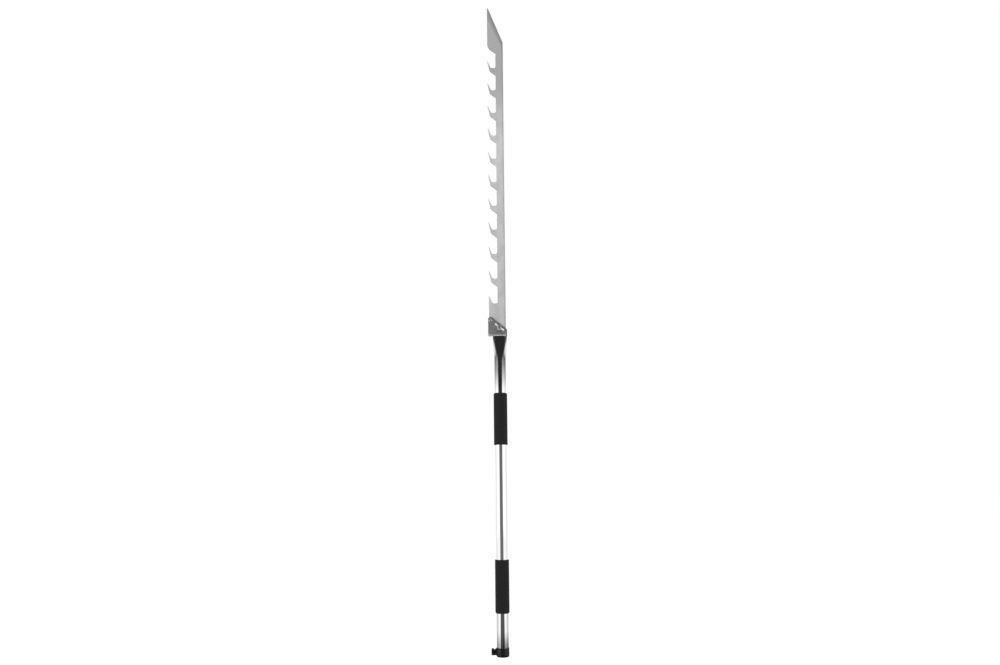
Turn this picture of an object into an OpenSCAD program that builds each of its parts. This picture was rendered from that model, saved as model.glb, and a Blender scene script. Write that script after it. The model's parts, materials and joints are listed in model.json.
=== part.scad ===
// Folding ice saw: a long hook-toothed blade that swings down in its own plane beside a
// chromed tube handle with two foam grips. It stands upright with +Z along the handle, the
// teeth towards -X and the wing nut towards -Y. The origin is the middle of the foot of the
// end cap. All sizes are millimetres.

/* [Overall] */
// Length of the open saw, from the foot of the end cap to the point of the blade
open_length = 1524; // [1480:1:1560]

/* [Handle tube] */
// Outside diameter of the handle tube
tube_d = 25.4; // [24:0.1:26.5]
// Wall of the handle tube
tube_wall = 1.6; // [1.2:0.1:1.7]
// Height of the flattened rim that carries the bracket
tube_top = 692.5; // [680:0.5:705]
// Width across the flattened rim
rim_width = 32; // [31:0.1:33]
// Length of the stretch that goes from round to flattened
flare_length = 85; // [60:1:110]

/* [Grips] */
// Outside diameter of the foam grips
grip_d = 30.5; // [29:0.1:32]
// Height of the lower end of the lower grip
lower_grip_z = 88; // [60:1:120]
// Length of the lower grip
lower_grip_length = 111; // [90:0.5:125]
// Height of the lower end of the upper grip
upper_grip_z = 444.8; // [400:0.1:470]
// Length of the upper grip
upper_grip_length = 116; // [90:0.5:130]
// Height of the rounded outer end of a grip
grip_round = 3.6; // [1:0.1:6]
// Depth of the hollow in the inner end of a grip
grip_cup = 1.8; // [0.5:0.1:3]

/* [End cap] */
// Height of the end cap
cap_height = 18.6; // [17:0.1:22]
// Wall of the end cap round the tube
cap_wall = 1.1; // [0.8:0.1:1.6]
// Thickness of the end cap under the tube
cap_floor = 3; // [2:0.1:4]
// Radius of the rounded foot of the end cap
cap_round = 3.2; // [1.5:0.1:4]
// Width of the catch that holds the folded blade, across its slot
catch_width = 11; // [9:0.1:13]
// How deep the edge of the folded blade sits in the catch
catch_depth = 6.7; // [5:0.1:7.5]
// Height of the underside of the catch
catch_bottom = 4.2; // [4.1:0.1:6]
// Height of the top of the catch
catch_top = 17; // [15:0.1:18]

/* [Blade] */
// Width of the blade over the teeth
blade_width = 38.1; // [36:0.1:40]
// Thickness of the blade
blade_thickness = 3; // [2.4:0.1:3.4]
// Number of hook teeth below the solid point
tooth_count = 11; // [9:1:12]
// Depth of the teeth, from their points to the spine
tooth_depth = 20; // [18:0.1:22]
// Rise of a tooth from its root to its point
tooth_rise = 38; // [34:0.1:42]
// Rise of the floor of a gullet above the root of the tooth below it
gullet_rise = 19.8; // [17:0.1:22]
// Radius in the corner between a gullet and the spine
gullet_radius = 4.4; // [2:0.1:5]
// Radius in the corner between the underside of a tooth and the spine
root_radius = 1.6; // [0.8:0.1:2.5]
// Width of the land at the point of a tooth
point_land = 0.6; // [0.3:0.1:1]
// How far the point of each tooth is bent out of the blade, to alternate sides
tooth_set = 1.4; // [0.6:0.1:2]
// Length of the solid point above the last gullet
tip_length = 123; // [115:0.5:135]
// Length of the slope along the back of the point, measured upwards
tip_slope = 93.5; // [80:0.5:105]
// Width of the blunt end of the point
tip_land = 2.2; // [0.6:0.1:4]
// Width of the ground bevel along the back of the point
bevel_width = 2.4; // [1:0.1:3.5]
// Depth of that bevel on each face
bevel_depth = 0.9; // [0.4:0.1:1.1]
// How far the bevel runs on down the back
bevel_run = 44; // [20:1:60]

/* [Pivot and lock] */
// Height of the pivot above the rim of the tube
pivot_rise = 36.3; // [35.5:0.1:39]
// Distance of the pivot from the line of the tooth points
pivot_inset = 3.4; // [3:0.1:4]
// Gap between the folded blade and the widest part of the handle
fold_gap = 1.2; // [0.8:0.1:2]
// Height of the root of the lowest tooth above the pivot
first_root = 20; // [18:0.1:23]
// Distance of the lock bolt from the pivot, across the saw
lock_across = 20; // [19:0.1:21]
// Distance of the lock bolt below the pivot
lock_drop = 18.8; // [17.5:0.1:19.5]
// Diameter of the pivot bolt
pivot_bolt_d = 4.83; // [4.5:0.01:5]
// Diameter of the lock bolt
lock_bolt_d = 6.35; // [6:0.01:6.5]
// Advance of the wing nut in one turn
thread_pitch = 1.27; // [1:0.01:1.5]
// Turns that the wing nut is loosened by
nut_turns = 4; // [2:1:4]

/* [Bracket] */
// Thickness of each bracket cheek
cheek_thickness = 3.2; // [2.8:0.1:3.2]
// Distance from the pivot to the side of the cheek
cheek_side = 5.8; // [5.6:0.1:7]
// Distance from the pivot to the sloping edge of the cheek
cheek_edge = 7.3; // [6.6:0.1:8]
// Slope of that edge, in degrees below the horizontal
cheek_slope = 40; // [38:0.5:41]
// How far the cheek stands out past the back of the blade
cheek_overhang = 2.7; // [1.5:0.1:3.5]
// Length of the tongues that reach down into the tube
tongue_length = 30; // [20:1:40]
// Width of those tongues
tongue_width = 18; // [14:0.5:19]
// Leg of the weld bead along the rim
weld_leg = 1.9; // [1.2:0.1:2]

/* [Wing nut] */
// Span over the wings
wing_span = 26; // [24:0.5:30]
// Thickness of a wing
wing_thickness = 3.2; // [1.8:0.1:4]
// Height of the hub
hub_height = 6.5; // [5:0.1:7]
// Angle of the wings, in degrees below the horizontal
wing_angle = 38; // [0:1:180]

/* [Hidden] */
$fn = 64;

// Clearances
running = 0.05;    // a bore round the shaft that turns in it
bolt_slack = 0.15; // a bolt in its hole
slide_gap = 0.3;   // the blade and the cheek on either side of it
slot_slack = 0.2;  // the lock bolt in the closed end of the slot of the blade
sleeve_fit = 0.02; // grips and cap on the tube
tongue_gap = 0.3;  // the tongues of the bracket inside the flattened rim
over = 1;          // how far a cutter reaches past what it cuts

tube_r = tube_d / 2;
pivot_r = pivot_bolt_d / 2;
lock_r = lock_bolt_d / 2;

// The pivot lies so far out that the folded blade clears the rim and the grips
widest_r = max(rim_width, grip_d) / 2;
folded_x = -(widest_r + fold_gap);
pivot_x = folded_x - pivot_inset;
tooth_x = pivot_x - pivot_inset;
back_x = tooth_x + blade_width;
spine_x = tooth_x + tooth_depth;
pivot_z = tube_top + pivot_rise;
pivot = [pivot_x, pivot_z];
lock = pivot + [lock_across, -lock_drop];
lock_radius = norm(lock - pivot);
lock_angle = atan2(lock_drop, lock_across);

// Planes across the bracket, from its middle outwards; the rim is pressed flat round the tongues
face_y = blade_thickness / 2;
cheek_in = face_y + slide_gap;
cheek_out = cheek_in + cheek_thickness;
rim_out = cheek_out + tongue_gap + tube_wall;

// Pivot bolt and its lock nut, which holds a plastic ring in a collar
pivot_head_r = 4.6;
pivot_head_h = 2.6;
pivot_washer_t = 1;
nut_flats = 9.5;
nut_height = 4.6;
collar_height = 1.6;
insert_height = collar_height - 0.3;
insert_wall = 1.2;
bolt_end = 1.4; // what stands out past a nut
pivot_nut_y = cheek_out + pivot_washer_t;
collar_y = pivot_nut_y + nut_height;

// Lock bolt, its washer and the place of the wing nut when it is tight
lock_head_r = 7.2;
lock_head_h = 3.6;
washer_t = 1.2;
washer_r = 6;
nut_y = -cheek_out - washer_t;
lock_end_y = nut_y - hub_height - nut_turns * thread_pitch - bolt_end;

// Teeth, evenly spread between the lowest root and the root of the solid point
point_root = open_length - tip_length;
root_z = pivot_z + first_root;
tooth_pitch = (point_root - root_z) / tooth_count;
bend_rise = gullet_rise + 2.2; // where a hook starts to lean out
bent_rise = tooth_rise - bend_rise;
window_inset = 0.4 * tooth_depth;
ear_r = cheek_side - 0.6;
slope_top = [tooth_x + tip_land, open_length];
slope_foot = [back_x, open_length - tip_slope];
slot_half = lock_r + bolt_slack;
slot_end_r = lock_r + slot_slack;
lip_width = 4.6; // what is left of the blade under the closed end of its slot
base_z = lock[1] - slot_end_r - lip_width;

// Geometry helpers
function unit(v) = v / norm(v);
function curve(a, b, c, d, n) = [for (i = [0:n]) let (t = i / n)
    a * pow(1 - t, 3) + b * 3 * t * pow(1 - t, 2) + c * 3 * t * t * (1 - t) + d * pow(t, 3)];
// Arc of radius r that rounds the corner b between a and c
function rounded(a, b, c, r, n = 8) = let (u = unit(a - b), v = unit(c - b), half = acos(u * v) / 2,
    centre = b + unit(u + v) * r / sin(half), s = b + u * r / tan(half) - centre,
    e = b + v * r / tan(half) - centre, w = 180 - 2 * half)
    [for (i = [0:n]) centre + (s * sin((1 - i / n) * w) + e * sin(i / n * w)) / sin(w)];

// A flat plate whose outline is drawn in the plane of the saw, between two depths
module plate(y0, y1) {
    translate([0, y1, 0]) rotate([90, 0, 0]) linear_extrude(y1 - y0) children();
}

// A round bar or bore across the saw, at a place p of its plane
module across(p, r, y0, y1) {
    translate([p[0], y1, p[1]]) rotate([90, 0, 0]) cylinder(r = r, h = y1 - y0);
}

// Outline of one hook, from its root at the spine, over its point and down to the gullet
function hook_outer() = let (d = tooth_depth, g = gullet_rise) concat(
    rounded([0, -g], [0, 0], [-0.6 * d, 0.47 * g], root_radius, 4),
    curve([-0.6 * d, 0.47 * g], [-0.71 * d, 0.56 * g], [-0.75 * d, 0.65 * g], [-0.77 * d, 0.81 * g], 5));
function hook_inner() = let (d = tooth_depth, g = gullet_rise, h = tooth_rise, r = gullet_radius) concat(
    [[-d, h]], curve([-d + point_land, h], [-0.72 * d, 0.74 * h], [-0.7 * d, g], [-0.4 * d, g], 9),
    [for (a = [0:18:90]) [-r + r * sin(a), g + r - r * cos(a)]]);

// Outline of the heel of the solid point, from its root to the line of the teeth
function point_heel() = let (d = tooth_depth, g = gullet_rise) concat(
    rounded([0, -g], [0, 0], [-0.5 * d, 0.35 * g], root_radius, 4),
    curve([-0.5 * d, 0.35 * g], [-0.72 * d, 0.5 * g], [-d, 0.85 * g], [-d, 1.4 * g], 7));

function shifted(points, by) = [for (p = points) p + by];

// Left side of the blade from its base to the point: lowest hook, the other hooks, solid point
function blade_edge() = concat(
    [[tooth_x, base_z]],
    shifted(hook_inner(), [spine_x, root_z]),
    [for (k = [1:tooth_count - 1])
        each shifted(concat(hook_outer(), hook_inner()), [spine_x, root_z + k * tooth_pitch])],
    shifted(point_heel(), [spine_x, point_root]));

module blade_outline() {
    polygon(concat(blade_edge(), [[tooth_x, open_length], slope_top, slope_foot, [back_x, base_z]]));
    translate(pivot) circle(r = ear_r);
}

// The place of the part of a hook that is bent out
module hook_window(k) {
    translate([tooth_x - over, root_z + k * tooth_pitch + bend_rise])
        square([tooth_depth - window_inset + over, bent_rise + over]);
}

// The upper part of a hook, which leans out from its foot, every other one to the other side
module bent_hook(k) intersection() {
    foot = root_z + k * tooth_pitch + bend_rise;
    top = bent_rise + over;
    lean = (k % 2 == 0 ? 1 : -1) * tooth_set * top / bent_rise;
    depth = face_y + tooth_set + over;
    plate(-depth, depth) intersection() {
        blade_outline();
        hook_window(k);
    }
    translate([tooth_x - over, 0, foot]) rotate([90, 0, 90]) linear_extrude(tooth_depth)
        polygon([[-face_y, 0], [face_y, 0], [lean + face_y, top], [lean - face_y, top]]);
}

// Open slot on which the blade swings off the lock bolt; its closed end is the stop
module lock_slot() {
    translate(lock) circle(r = slot_end_r);
    translate(pivot) intersection() {
        difference() {
            circle(r = lock_radius + slot_half);
            circle(r = lock_radius - slot_half);
        }
        rotate(-lock_angle) polygon([[0, 0], [2 * lock_radius, 0], [2 * lock_radius, -2 * lock_radius],
            [-2 * lock_radius, -2 * lock_radius], [-2 * lock_radius, 0]]);
    }
    // takes the thin end off the lip under the bolt
    lip_x = lock[0] - over;
    lip_z = pivot_z - sqrt(pow(lock_radius + slot_half, 2) - pow(lip_x - pivot_x, 2));
    translate([lip_x - 2 * lock_radius, base_z - over]) square([2 * lock_radius, lip_z - base_z + over]);
}

// Long cutter that grinds a bevel on both faces along the edge from p to q
module edge_bevel(p, q) {
    slope = bevel_depth / bevel_width;
    translate([p[0], 0, p[1]]) rotate([0, atan2(p[1] - q[1], q[0] - p[0]), 0])
        for (side = [-1, 1]) rotate([90, 0, 90]) linear_extrude(norm(q - p))
            polygon([[side * face_y, -bevel_width], [side * (face_y - bevel_depth - slope * over), over],
                [side * (face_y + over), over], [side * (face_y + over), -bevel_width]]);
}

module blade() color([0.68, 0.68, 0.69]) {
    difference() {
        plate(-face_y, face_y) difference() {
            blade_outline();
            lock_slot();
            for (k = [0:tooth_count - 1]) hook_window(k);
        }
        across(pivot, pivot_r + running, -face_y - over, face_y + over);
        edge_bevel(slope_top + 3 * unit(slope_top - slope_foot), slope_foot + 0.4 * unit(slope_foot - slope_top));
        edge_bevel(slope_foot, slope_foot - [0, bevel_run]);
    }
    for (k = [0:tooth_count - 1]) bent_hook(k);
}

// Height of the sloping edge of the cheeks at a place across the saw
function slope_z(x) = pivot_z + (cheek_edge - sin(cheek_slope) * (x - pivot_x)) / cos(cheek_slope);

// The tongue that reaches down into the tube, from its right side to its left
function tongue_points() = let (half = tongue_width / 2, foot = tube_top - tongue_length)
    [[half, tube_top], [half, foot], [-half, foot], [-half, tube_top]];

module cheek_outline() {
    left = pivot_x - cheek_side;
    right = back_x + cheek_overhang;
    top_left = [left, slope_z(left)];
    top_right = [right, slope_z(right)];
    foot_left = [left, tube_top];
    foot_right = [right, tube_top];
    polygon(concat(rounded(foot_left, top_left, top_right, cheek_side),
        rounded(top_left, top_right, foot_right, 4), rounded(top_right, foot_right, foot_left, 1, 3),
        tongue_points(), rounded(foot_right, foot_left, top_left, 1.5, 3)));
}

module front_cheek() color([0.30, 0.30, 0.31]) difference() {
    plate(-cheek_out, -cheek_in) cheek_outline();
    across(pivot, pivot_r + bolt_slack, -cheek_out - over, -cheek_in + over);
    across(lock, lock_r + bolt_slack, -cheek_out - over, -cheek_in + over);
}

// The rear cheek has a square hole that keeps the lock bolt from turning
module rear_cheek() color([0.30, 0.30, 0.31]) difference() {
    plate(cheek_in, cheek_out) cheek_outline();
    across(pivot, pivot_r + bolt_slack, cheek_in - over, cheek_out + over);
    plate(cheek_in - over, cheek_out + over) translate(lock)
        square(lock_bolt_d + 2 * bolt_slack, center = true);
}

// Plate between the cheeks: it sits on the rim and stays below and beside the blade
module spacer_plate() color([0.30, 0.30, 0.31]) plate(-cheek_in, cheek_in) {
    half = rim_width / 2;
    top = base_z - 3;
    polygon(concat([[-half, top], [half, top], [half, tube_top]], tongue_points(), [[-half, tube_top]]));
}

// Rippled fillet along the front and the rear of the rim
module weld_bead() color([0.62, 0.62, 0.63]) {
    ripple = 2;
    count = floor((rim_width - 5) / ripple);
    for (side = [-1, 1]) intersection() {
        union() for (i = [0:count - 1])
            translate([(i - count / 2) * ripple, side * cheek_out, tube_top]) rotate([0, 90, 0])
                cylinder(r = weld_leg - (i % 2) * 0.2, h = ripple + 0.01);
        translate([-rim_width, side > 0 ? cheek_out : -cheek_out - weld_leg - over, tube_top])
            cube([2 * rim_width, weld_leg + over, weld_leg + over]);
    }
}

// Section of the tube, t of the way from round to flattened, drawn in by inset
function tube_ring(t, z, inset, n) = let (a = tube_r + (rim_width / 2 - tube_r) * pow(t, 3),
    b = tube_r + (rim_out - tube_r) * pow(t, 3), r = b - inset)
    [for (i = [0:n - 1]) let (w = (i + 0.5) * 360 / n) [sign(cos(w)) * (a - b) + r * cos(w), r * sin(w), z]];

module tube_flare() {
    n = 48;
    steps = 10;
    foot = tube_top - flare_length;
    lap = 0.06; // the wall is this much thicker on either side, so it covers the round one
    outer = [for (s = [0:steps]) each tube_ring(s / steps, foot + flare_length * s / steps, -lap, n)];
    inner = [for (s = [0:steps])
        each tube_ring(s / steps, foot + flare_length * s / steps, tube_wall + lap, n)];
    m = len(outer);
    polyhedron(concat(outer, inner), concat(
        [for (s = [0:steps - 1], i = [0:n - 1]) let (j = (i + 1) % n, a = s * n, b = a + n)
            each [[a + i, b + i, b + j], [a + i, b + j, a + j]]],
        [for (s = [0:steps - 1], i = [0:n - 1]) let (j = (i + 1) % n, a = m + s * n, b = a + n)
            each [[a + i, b + j, b + i], [a + i, a + j, b + j]]],
        [for (i = [0:n - 1]) let (j = (i + 1) % n, t = steps * n)
            each [[t + i, m + t + i, m + t + j], [t + i, m + t + j, t + j]]],
        [for (i = [0:n - 1]) let (j = (i + 1) % n)
            each [[i, m + j, m + i], [i, j, m + j]]]));
}

module handle_tube() color([0.86, 0.86, 0.88]) {
    round_length = tube_top - flare_length - cap_floor;
    translate([0, 0, cap_floor]) difference() {
        cylinder(r = tube_r, h = round_length);
        translate([0, 0, -over]) cylinder(r = tube_r - tube_wall, h = round_length + 2 * over);
    }
    tube_flare();
}

// Foam sleeve with its hollow inner end at the foot and its rounded outer end on top
module grip(length) rotate_extrude() {
    r = grip_d / 2;
    bore = tube_r + sleeve_fit;
    lip = 0.8;
    polygon(concat([[bore, grip_cup]],
        rounded([bore, grip_cup], [r - lip, 0], [r, lip], 0.5, 3), [[r, lip]],
        [for (a = [0:10:90]) [bore + (r - bore) * cos(a), length + grip_round * (sin(a) - 1)]]));
}

module upper_grip() color([0.09, 0.09, 0.09]) translate([0, 0, upper_grip_z]) grip(upper_grip_length);

module lower_grip() color([0.09, 0.09, 0.09])
    translate([0, 0, lower_grip_z + lower_grip_length]) mirror([0, 0, 1]) grip(lower_grip_length);

// Outline of the catch from the side, sloping down from the rim of the cap to a valley
module catch_outline() {
    root = -tube_r;
    outer = folded_x - catch_depth;
    a = [root, cap_height - 0.2];
    b = [outer + 6.2, catch_top - 2.6];
    c = [outer + 3.6, catch_top];
    d = [outer, catch_top];
    e = [outer, catch_bottom];
    f = [root, catch_bottom];
    polygon(concat([a], rounded(a, b, c, 0.8, 4), rounded(b, c, d, 1, 4), rounded(c, d, e, 1.6, 6),
        rounded(d, e, f, 1.6, 6), [f]));
}

module end_cap() color([0.08, 0.08, 0.08]) {
    r = tube_r + cap_wall;
    floor_gap = 0.7;
    difference() {
        union() {
            rotate_extrude() polygon(concat([[0, 0]],
                rounded([0, 0], [r, 0], [r, cap_height], cap_round), rounded([r, 0], [r, cap_height],
                [0, cap_height], 0.4, 3), [[0, cap_height]]));
            plate(-catch_width / 2, catch_width / 2) catch_outline();
        }
        translate([0, 0, cap_floor]) cylinder(r = tube_r + sleeve_fit, h = cap_height);
        translate([folded_x - catch_depth - over, -cheek_in, 0])
            cube([catch_depth + over + floor_gap, 2 * cheek_in, cap_height + over]);
    }
}

// Low dome on the plane y = 0 that stands out towards -Y
module dome(r, h) {
    ball = (r * r + h * h) / (2 * h);
    rotate([90, 0, 0]) intersection() {
        translate([0, 0, h - ball]) sphere(r = ball);
        cylinder(r = r, h = h);
    }
}

module pivot_bolt() color([0.80, 0.80, 0.81]) {
    socket = 3.2;
    difference() {
        union() {
            translate([pivot_x, -cheek_out, pivot_z]) dome(pivot_head_r, pivot_head_h);
            across(pivot, pivot_r, -cheek_out - 0.5, collar_y + collar_height + bolt_end);
        }
        translate([pivot_x, -cheek_out - pivot_head_h + 1.5, pivot_z]) rotate([90, 0, 0])
            cylinder(d = socket / cos(30), h = pivot_head_h, $fn = 6);
    }
}

module pivot_washer() color([0.75, 0.75, 0.76]) difference() {
    across(pivot, pivot_head_r + 0.9, cheek_out, pivot_nut_y);
    across(pivot, pivot_r + bolt_slack, cheek_out - over, pivot_nut_y + over);
}

module pivot_nut() color([0.75, 0.75, 0.76]) difference() {
    top = collar_y + collar_height;
    union() {
        translate([pivot_x, collar_y, pivot_z]) rotate([90, 0, 0])
            cylinder(d = nut_flats / cos(30), h = nut_height, $fn = 6);
        across(pivot, nut_flats / 2 - 0.3, pivot_nut_y, top);
    }
    across(pivot, pivot_r + running, pivot_nut_y - over, top + over);
    across(pivot, pivot_r + insert_wall + running, collar_y, collar_y + insert_height);
}

// Plastic ring held in the collar of the nut
module nut_insert() color([0.85, 0.85, 0.82]) difference() {
    across(pivot, pivot_r + insert_wall, collar_y, collar_y + insert_height);
    across(pivot, pivot_r + sleeve_fit, collar_y - over, collar_y + insert_height + over);
}

// Thin rings that keep the blade off both cheeks
module friction_washers() color([0.85, 0.85, 0.82]) for (side = [0, 1]) mirror([0, side, 0]) difference() {
    across(pivot, ear_r - 0.4, face_y, cheek_in);
    across(pivot, pivot_r + bolt_slack, face_y - over, cheek_in + over);
}

// Carriage bolt: domed head and square neck behind, shank through to the wing nut
module lock_bolt() color([0.75, 0.75, 0.76]) {
    translate([lock[0], cheek_out, lock[1]]) mirror([0, 1, 0]) dome(lock_head_r, lock_head_h);
    plate(cheek_in + 0.1, cheek_out + 0.2) translate(lock) square(lock_bolt_d, center = true);
    across(lock, lock_r, lock_end_y, cheek_out + 0.5);
}

module nut_washer() color([0.80, 0.80, 0.81]) difference() {
    across(lock, washer_r, nut_y, -cheek_out);
    across(lock, lock_r + bolt_slack, nut_y - over, -cheek_out + over);
}

// Outline of one wing, out from the bolt and up from the seat of the nut
module wing_outline() {
    tip = wing_span / 2;
    a = [3.6, 0.8];
    b = [tip - 4.5, 2.2];
    c = [tip, 8.4];
    d = [tip - 0.8, 13];
    e = [tip - 4.8, 12];
    f = [tip - 7, 7.4];
    g = [3.6, hub_height - 0.3];
    polygon(concat([a], rounded(a, b, c, 3, 4), rounded(b, c, d, 2, 4), rounded(c, d, e, 1.8, 5),
        rounded(d, e, f, 1.6, 4), rounded(e, f, g, 2, 4), [g]));
}

module wing_nut() color([0.82, 0.82, 0.83])
    translate([lock[0], nut_y, lock[1]]) rotate([90, 0, 0]) rotate([0, 0, -wing_angle]) difference() {
        union() {
            cylinder(r1 = 5.2, r2 = 4.6, h = hub_height);
            for (turn = [0, 180]) rotate([0, 0, turn]) translate([0, wing_thickness / 2, 0])
                rotate([90, 0, 0]) linear_extrude(wing_thickness) wing_outline();
        }
        translate([0, 0, -over]) cylinder(r = lock_r + running, h = hub_height + 12);
    }

blade();
front_cheek();
rear_cheek();
spacer_plate();
weld_bead();
handle_tube();
upper_grip();
lower_grip();
end_cap();
pivot_bolt();
pivot_washer();
pivot_nut();
nut_insert();
friction_washers();
lock_bolt();
nut_washer();
wing_nut();
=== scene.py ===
"""Looks of a folding ice saw: chromed tube, foam grips, satin blade and its bracket, on a white stage."""
import json
import math
from functools import partial

import bmesh
import bpy
from bpy.props import FloatProperty, FloatVectorProperty, IntProperty, PointerProperty
from bpy.types import Operator, Panel, PropertyGroup
from mathutils import Matrix, Vector


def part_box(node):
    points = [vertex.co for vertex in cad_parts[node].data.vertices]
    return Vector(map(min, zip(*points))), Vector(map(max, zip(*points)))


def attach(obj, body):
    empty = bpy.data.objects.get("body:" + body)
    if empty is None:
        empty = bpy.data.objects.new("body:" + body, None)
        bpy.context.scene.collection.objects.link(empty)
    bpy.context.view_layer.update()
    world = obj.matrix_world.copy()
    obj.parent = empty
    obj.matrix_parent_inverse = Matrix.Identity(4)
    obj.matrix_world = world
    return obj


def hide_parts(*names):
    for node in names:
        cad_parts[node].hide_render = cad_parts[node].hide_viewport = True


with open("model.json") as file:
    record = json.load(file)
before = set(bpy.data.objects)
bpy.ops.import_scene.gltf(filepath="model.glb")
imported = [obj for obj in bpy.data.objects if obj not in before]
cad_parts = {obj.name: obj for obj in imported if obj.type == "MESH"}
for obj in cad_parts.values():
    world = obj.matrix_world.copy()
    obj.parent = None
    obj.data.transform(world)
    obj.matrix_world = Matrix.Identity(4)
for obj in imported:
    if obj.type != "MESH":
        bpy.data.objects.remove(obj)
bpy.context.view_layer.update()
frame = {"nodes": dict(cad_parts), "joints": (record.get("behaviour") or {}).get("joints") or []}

bl_info = {
    "name": "Ice Saw",
    "version": (1, 0, 0),
    "blender": (4, 5, 0),
    "location": "3D View > Sidebar > Ice Saw",
    "description": "Dresses a folding ice saw with its finishes, foam grips, threads and stage",
    "category": "Object",
}

MM = 0.001
JOINTS = {joint["name"]: joint for joint in frame["joints"]}
PIVOT = Vector(JOINTS["blade_fold"]["pos_m"])
LOCK = Vector(JOINTS["nut_spin"]["pos_m"])
POINT_SLOPE = 93.5 * MM  # height of the sloping back of the point
FLOOR_SIZE = 16.0
RIM_INSET = 0.06 * MM  # keeps the bulge of the smooth rim inside the CAD's box
SAME_HEIGHT = 0.01 * MM
STRAIGHT_RINGS, FLARE_RINGS = 12, 60
STILL_ROUND = 0.38  # share of the flare that doesn't flatten yet
WELD_LAP = (1.03, 1.09, 1.45)  # how far the bead is enlarged about its top, to lap over the rim
THREAD_RINGS = 10  # in one turn of a thread
THREAD_DEPTH = 0.54  # share of the pitch
SHARP = math.radians(32)  # edges sharper than this are rounded
TOWARDS_NUT = Vector((0, -1, 0))
UP = Vector((0, 0, 1))


def low(node):
    """Lowest corner of a node's box."""
    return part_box(node)[0]


def high(node):
    """Highest corner of a node's box."""
    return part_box(node)[1]


class SawSizes(PropertyGroup):
    tube_radius: FloatProperty(name="Tube radius", description="Outside radius of the round tube",
                               default=12.7 * MM, unit="LENGTH")
    tube_wall: FloatProperty(name="Tube wall", description="Wall of the tube", default=1.6 * MM,
                             unit="LENGTH")
    flare_length: FloatProperty(name="Flare length",
                                description="Stretch that goes from round to flattened",
                                default=85 * MM, unit="LENGTH")
    rim_depth: FloatProperty(name="Rim depth", description="From the axis to the front of the flattened rim",
                             default=6.9 * MM, unit="LENGTH")
    grip_radius: FloatProperty(name="Grip radius", description="Outside radius of the foam grips",
                               default=high("upper_grip").x, unit="LENGTH")
    grip_round: FloatProperty(name="Grip rounding", description="Height of the rounded outer end of a grip",
                              default=3.6 * MM, unit="LENGTH")
    grip_cup: FloatProperty(name="Grip hollow", description="Depth of the hollow in the inner end of a grip",
                            default=1.8 * MM, unit="LENGTH")
    lock_radius: FloatProperty(name="Lock bolt radius", description="Outside radius of the lock bolt",
                               default=3.175 * MM, unit="LENGTH")
    pivot_radius: FloatProperty(name="Pivot bolt radius",
                                description="Outside radius of the pivot bolt",
                                default=2.415 * MM, unit="LENGTH")
    thread_pitch: FloatProperty(name="Thread pitch", description="Advance of the wing nut in one turn",
                                default=1.27 * MM, unit="LENGTH")
    pivot_pitch: FloatProperty(name="Pivot thread pitch",
                               description="Pitch of the thread of the pivot bolt",
                               default=1.06 * MM, unit="LENGTH")
    round_steps: IntProperty(name="Steps round", description="Faces round the tube and the grips",
                             default=96)


class SawFinishes(PropertyGroup):
    blade: FloatVectorProperty(name="Blade", description="Satin steel of the blade",
                               subtype="COLOR", default=(0.74, 0.74, 0.75), min=0, max=1)
    bracket: FloatVectorProperty(name="Bracket", description="Dark steel of the bracket",
                                 subtype="COLOR", default=(0.26, 0.26, 0.265), min=0, max=1)
    chrome: FloatVectorProperty(name="Chrome", description="Chromium plate of the tube", subtype="COLOR",
                                default=(0.86, 0.86, 0.87), min=0, max=1)
    foam: FloatVectorProperty(name="Foam", description="Closed-cell foam of the grips", subtype="COLOR",
                              default=(0.014, 0.014, 0.014), min=0, max=1)
    plastic: FloatVectorProperty(name="Plastic", description="Moulded plastic of the end cap",
                                 subtype="COLOR", default=(0.010, 0.010, 0.010), min=0, max=1)
    zinc: FloatVectorProperty(name="Zinc", description="Zinc plate of the fasteners", subtype="COLOR",
                              default=(0.78, 0.78, 0.79), min=0, max=1)
    # Near white: light zinc with a painted highlight in its colour
    wing: FloatVectorProperty(name="Wing nut", description="Satin zinc of the wing nut", subtype="COLOR",
                              default=(0.97, 0.97, 0.98), min=0, max=1)
    weld: FloatVectorProperty(name="Weld", description="Bright weld along the rim", subtype="COLOR",
                              default=(0.95, 0.95, 0.96), min=0, max=1)
    nylon: FloatVectorProperty(name="Nylon", description="Nylon of the washers and the nut's ring",
                               subtype="COLOR", default=(0.75, 0.75, 0.72), min=0, max=1)


class StudioSettings(PropertyGroup):
    distance: FloatProperty(name="Distance", description="Camera in front of the saw", default=1.831,
                            unit="LENGTH")
    height: FloatProperty(name="Height", description="Camera above the foot of the saw", default=0.325,
                          unit="LENGTH")
    side: FloatProperty(name="Side", description="Camera to the right of the saw's axis", default=0.6 * MM,
                        unit="LENGTH")
    pitch: FloatProperty(name="Pitch", description="How far the camera looks up",
                         default=math.radians(11.59), subtype="ANGLE")
    roll: FloatProperty(name="Roll", description="How far the camera is turned clockwise",
                        default=math.radians(0.57), subtype="ANGLE")
    lens: FloatProperty(name="Lens", description="Focal length in mm on a 36 mm sensor", default=29.41,
                        unit="CAMERA")
    floor: FloatProperty(name="Floor", description="Height of the floor under the foot", default=-0.12,
                         unit="LENGTH")
    ambient: FloatProperty(name="Ambient", description="Light of the surroundings on matt surfaces",
                           default=0.75, min=0, max=1, subtype="FACTOR")
    lamps: FloatProperty(name="Lamps", description="Power of each of the two lamps", default=13.0,
                         unit="POWER")


def select_only(piece):
    """Selects one object and makes it the active one."""
    bpy.ops.object.select_all(action="DESELECT")
    piece.select_set(True)
    bpy.context.view_layer.objects.active = piece


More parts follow.
